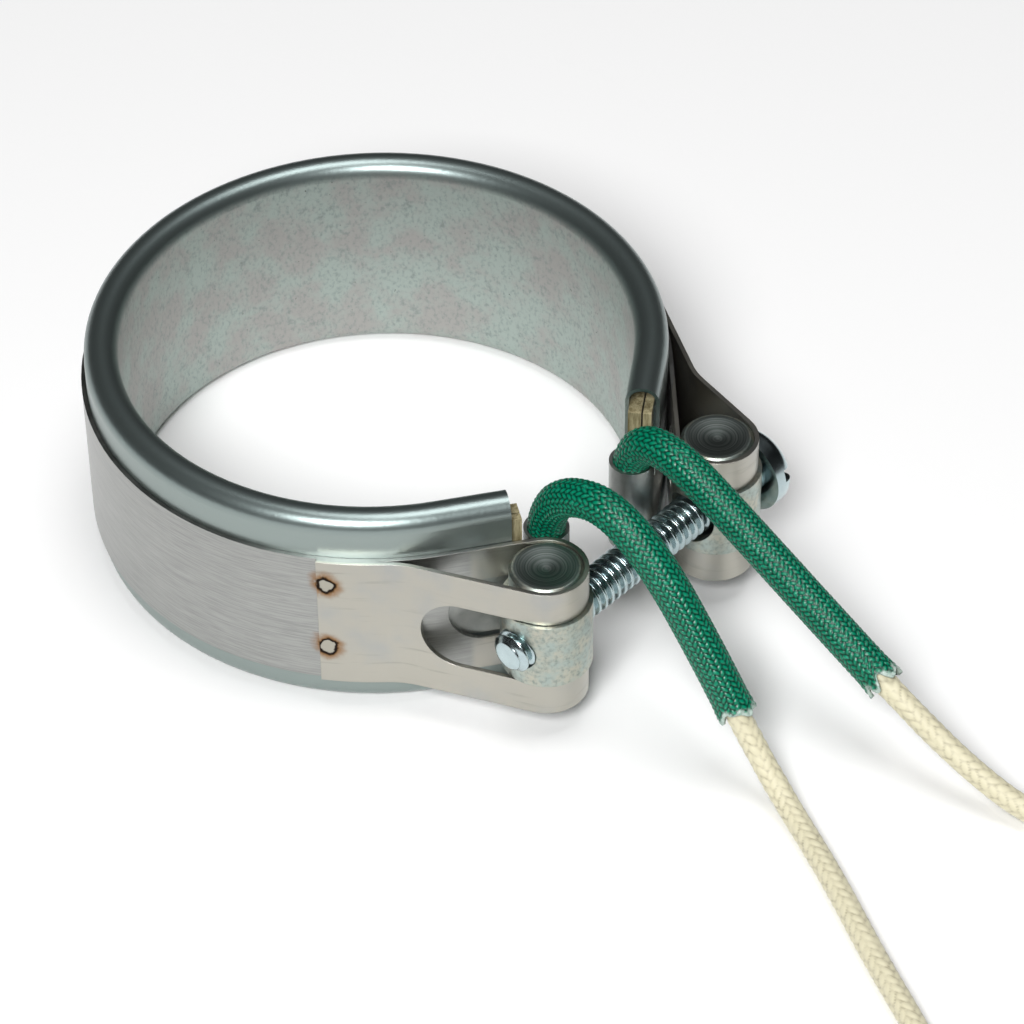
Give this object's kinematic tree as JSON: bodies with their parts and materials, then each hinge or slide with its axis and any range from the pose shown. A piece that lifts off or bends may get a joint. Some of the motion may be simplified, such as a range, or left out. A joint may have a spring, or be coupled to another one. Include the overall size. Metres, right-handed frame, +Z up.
{
  "type": "band heater",
  "caption": "Mica band heater: a clamped ring round a barrel or nozzle, with a strap, barrel nuts, clamp screw and sleeved leads.",
  "frame": {"origin": "the middle of the bore", "axes": "+Z up along the bore's axis; +X from the axis to the gap and the clamp screw; the screw lies along Y with its head at +Y"},
  "size_m": [0.155, 0.1083, 0.0294],
  "materials": {
    "sheath_steel": "thin rolled sheet, mottled grey green",
    "strap_steel": "brushed lengthwise, heat tint at the spot welds",
    "clip_steel": "folded sheet, satin",
    "barrel_zinc": "turned bar, mottled zinc",
    "screw_zinc": "bright zinc plate",
    "mica": "laminated mica board, amber edge",
    "ribbon_alloy": "dull resistance alloy",
    "sleeve_braid": "varnished glass braid, dark green",
    "lead_braid": "glass braid, cream",
    "bare_wire": "stranded nickel wire"
  },
  "bodies": {
    "band": {"heater_sheath": "sheath_steel", "outer_cover": "sheath_steel", "inner_mica": "mica", "mica_core": "mica", "outer_mica": "mica", "resistance_ribbon": "ribbon_alloy", "near_terminal": "ribbon_alloy", "far_terminal": "ribbon_alloy", "near_lead_exit": "clip_steel", "far_lead_exit": "clip_steel", "clamp_strap": "strap_steel", "near_sleeve": "sleeve_braid", "far_sleeve": "sleeve_braid", "near_lead": "lead_braid", "far_lead": "lead_braid", "near_lead_coil": "lead_braid", "far_lead_coil": "lead_braid", "near_lead_tip": "bare_wire", "far_lead_tip": "bare_wire"},
    "near_barrel": {"near_barrel_nut": "barrel_zinc"},
    "screw": {"clamp_screw": "screw_zinc"},
    "far_barrel": {"far_barrel": "barrel_zinc"}
  },
  "joints": [
    {"name": "near_barrel_swivel", "type": "hinge", "parent": "band", "child": "near_barrel", "pos_m": [0.0365, -0.0123, -0.00065], "axis": [0, 0, 1], "range_deg": [-0.6, 0.6]},
    {"name": "screw_turn", "type": "hinge", "parent": "near_barrel", "child": "screw", "pos_m": [0.0365, 0, -0.00065], "axis": [0, 1, 0], "continuous": true},
    {"name": "far_barrel_swivel", "type": "hinge", "parent": "band", "child": "far_barrel", "pos_m": [0.0365, 0.0155, -0.00065], "axis": [0, 0, 1], "range_deg": [-2, 2]}
  ]
}
